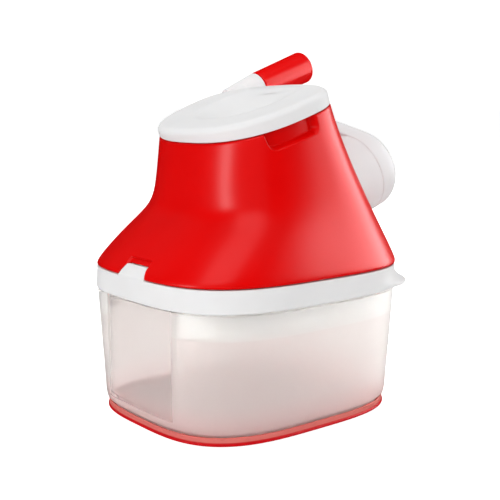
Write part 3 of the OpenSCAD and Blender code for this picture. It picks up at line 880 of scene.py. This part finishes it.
def drum_sleeve():
    """Steel sleeve whose round cutters are raised, sharp-lipped holes."""
    rings, around = 6, 12
    radius, wall = 25.0, 0.8
    low, high = span("drum_sleeve", AXIS)
    first, pitch = low + 7.0, 9.6
    arc = TURN * radius / around
    sides = 16
    loops = [(3.5, 0.0), (2.9, 0.25), (2.45, 0.75), (2.2, 1.15), (2.05, 1.1), (2.0, 0.5)]
    points, faces, index = [], [], {}

    def vertex(a, s, r):
        key = (round(a / arc * 16 * around) % (16 * around * around), round(s, 3), round(r, 3))
        if key not in index:
            index[key] = len(points)
            turn = a / radius
            y, v = CRANK_Y + r * math.cos(turn), CRANK_V + r * math.sin(turn)
            points.append(tilted(np.float64(s), y, v))
        return index[key]

    for j in range(rings):
        for i in range(around):
            a0, s0 = arc * (i + 0.5 * (j % 2)), first + pitch * j
            border = []
            for k in range(sides):
                turn = TURN * k / sides
                c, s = math.cos(turn), math.sin(turn)
                reach = 1 / max(abs(c), abs(s))
                border.append((a0 + arc / 2 * c * reach, s0 + pitch / 2 * s * reach))
            outer = [vertex(a, s, radius) for a, s in border]
            for size, rise in loops:
                inner = []
                for k in range(sides):
                    turn = TURN * k / sides
                    a, s = a0 + size * math.cos(turn), s0 + size * math.sin(turn)
                    inner.append(vertex(a, s, radius + rise))
                for k in range(sides):
                    after = (k + 1) % sides
                    faces.append((outer[k], outer[after], inner[after], inner[k]))
                outer = inner
    for side, stop in ((first - pitch / 2, low), (first + pitch * (rings - 0.5), high)):
        for k in range(around * 4):
            a, b = arc * k / 4, arc * (k + 1) / 4
            faces.append(tuple(vertex(*at, radius) for at in ((a, side), (b, side), (b, stop), (a, stop))))
    made = piece("drum_sleeve_sheet", points, faces, "drum", ["drum_sleeve"], "grater_steel", GRATER_STEEL)
    thick = made.modifiers.new("sheet", "SOLIDIFY")
    thick.thickness = wall * MM
    thick.offset = -1


# ---------------------------------------------------------------- carried-over CAD nodes


def dress(node, material):
    """Gives a CAD node a material."""
    mesh = nodes[node].data
    mesh.materials.clear()
    mesh.materials.append(material)


for node, material in {
    "collar_seal": SEAL, "feed_chute": RED, "drum_cradle": RED, "bearing_ring": WHITE, "hub_retainer": STEEL,
    "pusher_plunger": WHITE, "press_plate": WHITE, "drum_front_ring": WHITE, "drum_rear_cap": WHITE,
    "drive_spindle": STEEL, "spindle_screw": STEEL, "hub_cover": CRANK_WHITE, "grip_axle": STEEL,
    "grip_screw": STEEL, "grip_washer": STEEL,
}.items():
    dress(node, material)

base_ring()
container()
housing()
bearing_boss()
collar()
pusher_lid()
crank()
grip()
drum_sleeve()

# ---------------------------------------------------------------- camera, floor and light

AZIMUTH, ELEVATION = -38.924, 9.118
DISTANCE = 562.58
AIM_RIGHT, AIM_UP = 2.27, 91.42


def away(azimuth, elevation):
    """Direction from the object in degrees; azimuth 0 is in front, towards -Y."""
    a, e = math.radians(azimuth), math.radians(elevation)
    return Vector((math.sin(a) * math.cos(e), -math.cos(a) * math.cos(e), math.sin(e)))


back = away(AZIMUTH, ELEVATION)
right = Vector((math.cos(math.radians(AZIMUTH)), math.sin(math.radians(AZIMUTH)), 0))
aim = right * AIM_RIGHT + Vector((0, 0, AIM_UP))
camera_data = bpy.data.cameras.new("camera")
camera_data.lens = 69.09
camera_data.sensor_width = 36
camera = bpy.data.objects.new("camera", camera_data)
camera.location = (aim + back * DISTANCE) * MM
camera.rotation_mode = "QUATERNION"
camera.rotation_quaternion = (-back).to_track_quat("-Z", "Y")
bpy.context.scene.collection.objects.link(camera)
bpy.context.scene.camera = camera


OBJECT_MIDDLE = Vector((0, 0, 0.11))


def soft_box(name, azimuth, elevation, distance, width, height, radiance, sheen):
    """Rectangular light that faces the object's middle, in degrees and metres.

    With sheen it only makes highlights, without it it only lights."""
    data = bpy.data.lights.new(name, "AREA")
    data.shape = "RECTANGLE"
    data.size, data.size_y = width, height
    data.energy = radiance * math.pi * width * height
    light = bpy.data.objects.new(name, data)
    outwards = away(azimuth, elevation)
    light.location = OBJECT_MIDDLE + outwards * distance
    light.rotation_mode = "QUATERNION"
    light.rotation_quaternion = (-outwards).to_track_quat("-Z", "Y")
    light.visible_glossy = sheen
    light.visible_diffuse = not sheen
    bpy.context.scene.collection.objects.link(light)


soft_box("top_box", -20, 82, 1.3, 1.6, 1.6, 1.45, sheen=False)
soft_box("front_box", -66, 16, 1.4, 2.2, 1.2, 1.75, sheen=False)
soft_box("side_box", 62, 20, 1.4, 1.8, 1.2, 0.85, sheen=False)
soft_box("back_box", 160, 24, 1.4, 2.0, 1.2, 1.0, sheen=False)
soft_box("right_sheen", 63, 14, 1.2, 1.0, 1.3, 19.0, sheen=True)
soft_box("left_sheen", -96, 8, 1.3, 0.34, 0.9, 34.0, sheen=True)
soft_box("top_sheen", -60, 62, 1.3, 0.9, 0.9, 6.0, sheen=True)

FLOOR_HALF = 12.0
FLOOR_SEEN = 0.80
FLOOR_THROUGH = 0.1
WORLD_LIGHT = 0.25
WORLD_SEEN = 1.2


def pale_floor():
    """Floor that glows for the camera, and a little for what is seen through the tub."""
    mesh = bpy.data.meshes.new("floor")
    corners = [(-1, -1), (1, -1), (1, 1), (-1, 1)]
    mesh.from_pydata([(x * FLOOR_HALF, y * FLOOR_HALF, 0) for x, y in corners], [], [(0, 1, 2, 3)])
    floor = bpy.data.objects.new("floor", mesh)
    bpy.context.scene.collection.objects.link(floor)
    material, tree, shader = new_material("pale_floor")
    mottle(tree, shader, (0.93, 0.93, 0.93), (0.95, 0.95, 0.95), 3.0, 0.3, 0.7)
    shader.inputs["Roughness"].default_value = 0.9
    shader.inputs["Specular IOR Level"].default_value = 0.1
    shader.inputs["Emission Color"].default_value = (1, 1, 1, 1)
    rays = tree.nodes.new("ShaderNodeLightPath")
    through = add_node(tree, "ShaderNodeMath", Operation="MULTIPLY")
    through.inputs[1].default_value = FLOOR_THROUGH
    lit = add_node(tree, "ShaderNodeMath", Operation="MAXIMUM")
    glow = add_node(tree, "ShaderNodeMath", Operation="MULTIPLY")
    glow.inputs[1].default_value = FLOOR_SEEN
    tree.links.new(rays.outputs["Is Transmission Ray"], through.inputs[0])
    tree.links.new(rays.outputs["Is Camera Ray"], lit.inputs[0])
    tree.links.new(through.outputs[0], lit.inputs[1])
    tree.links.new(lit.outputs[0], glow.inputs[0])
    tree.links.new(glow.outputs[0], shader.inputs["Emission Strength"])
    mesh.materials.append(material)
    floor.visible_glossy = False


def studio_world():
    """White surroundings, brighter to look at than as a light, and left out of reflections."""
    world = bpy.data.worlds.new("studio")
    bpy.context.scene.world = world
    world.use_nodes = True
    tree = world.node_tree
    sky = tree.nodes["Background"]
    sky.inputs["Color"].default_value = (1, 1, 1, 1)
    rays = tree.nodes.new("ShaderNodeLightPath")
    seen = add_node(tree, "ShaderNodeMath", Operation="MAXIMUM")
    strength = tree.nodes.new("ShaderNodeMix")
    strength.inputs[2].default_value = WORLD_LIGHT
    strength.inputs[3].default_value = WORLD_SEEN
    unmirrored = add_node(tree, "ShaderNodeMath", Operation="SUBTRACT")
    unmirrored.inputs[0].default_value = 1
    dimmed = add_node(tree, "ShaderNodeMath", Operation="MULTIPLY")
    tree.links.new(rays.outputs["Is Camera Ray"], seen.inputs[0])
    tree.links.new(rays.outputs["Is Transmission Ray"], seen.inputs[1])
    tree.links.new(seen.outputs[0], strength.inputs[0])
    tree.links.new(rays.outputs["Is Glossy Ray"], unmirrored.inputs[1])
    tree.links.new(strength.outputs[0], dimmed.inputs[0])
    tree.links.new(unmirrored.outputs[0], dimmed.inputs[1])
    tree.links.new(dimmed.outputs[0], sky.inputs["Strength"])
    world.cycles.sampling_method = "NONE"
    world.cycles_visibility.glossy = False


pale_floor()
studio_world()
bpy.context.scene.view_settings.view_transform = "Standard"
